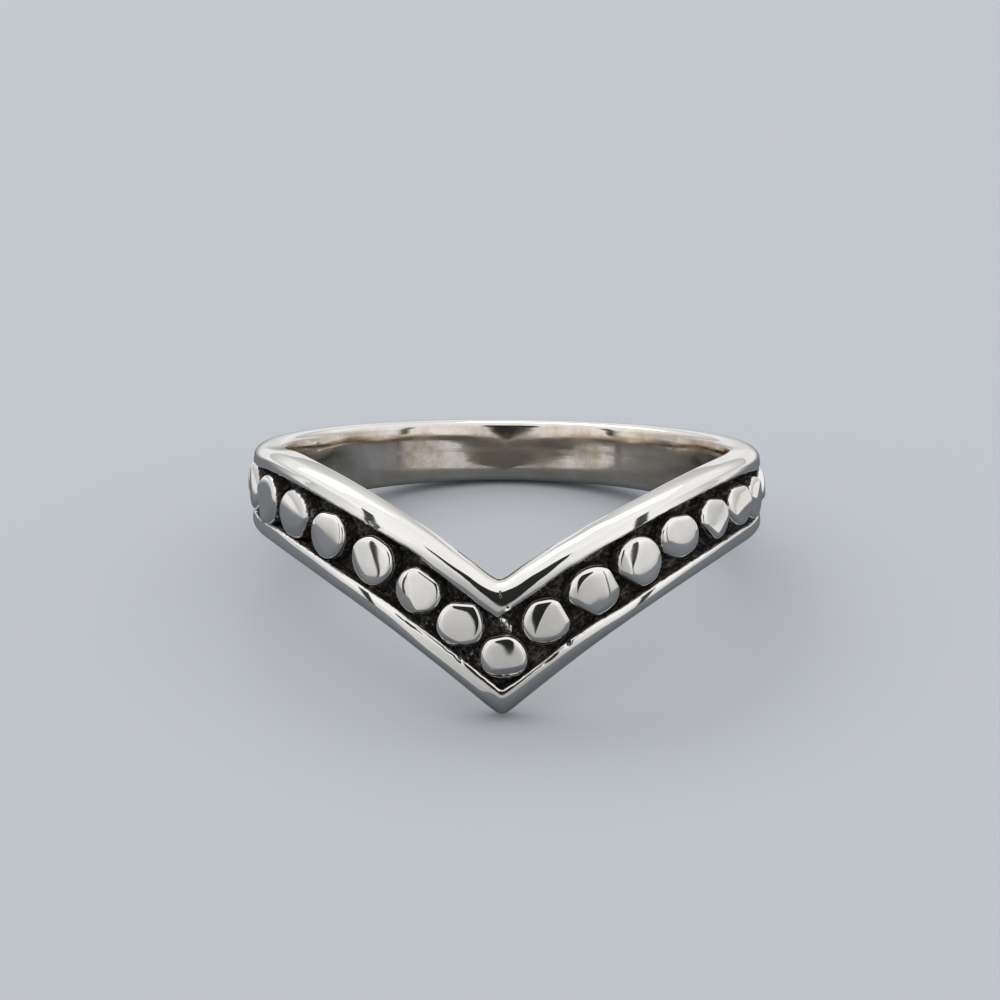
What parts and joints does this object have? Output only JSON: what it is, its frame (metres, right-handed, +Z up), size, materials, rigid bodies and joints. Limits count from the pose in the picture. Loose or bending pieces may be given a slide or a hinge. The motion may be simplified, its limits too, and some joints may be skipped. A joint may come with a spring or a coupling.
{
  "type": "silver chevron finger ring",
  "caption": "Slim silver finger ring with a pointed front: two rounded rails hold a row of flat round beads in a darkened channel, and the back is a plain low dome.",
  "frame": {"origin": "middle of the ring's bounding box, on the surface that it rests on", "axes": "+Z up from the table. The point faces -Y and the plain back +Y. The finger hole's axis leans from +Z towards +Y, because the ring lies on its point and its back."},
  "size_m": [0.0202, 0.0212, 0.0074],
  "materials": {
    "silver": "polished, with a blackened channel"
  },
  "bodies": {
    "root": {"ring": "silver"}
  },
  "joints": []
}
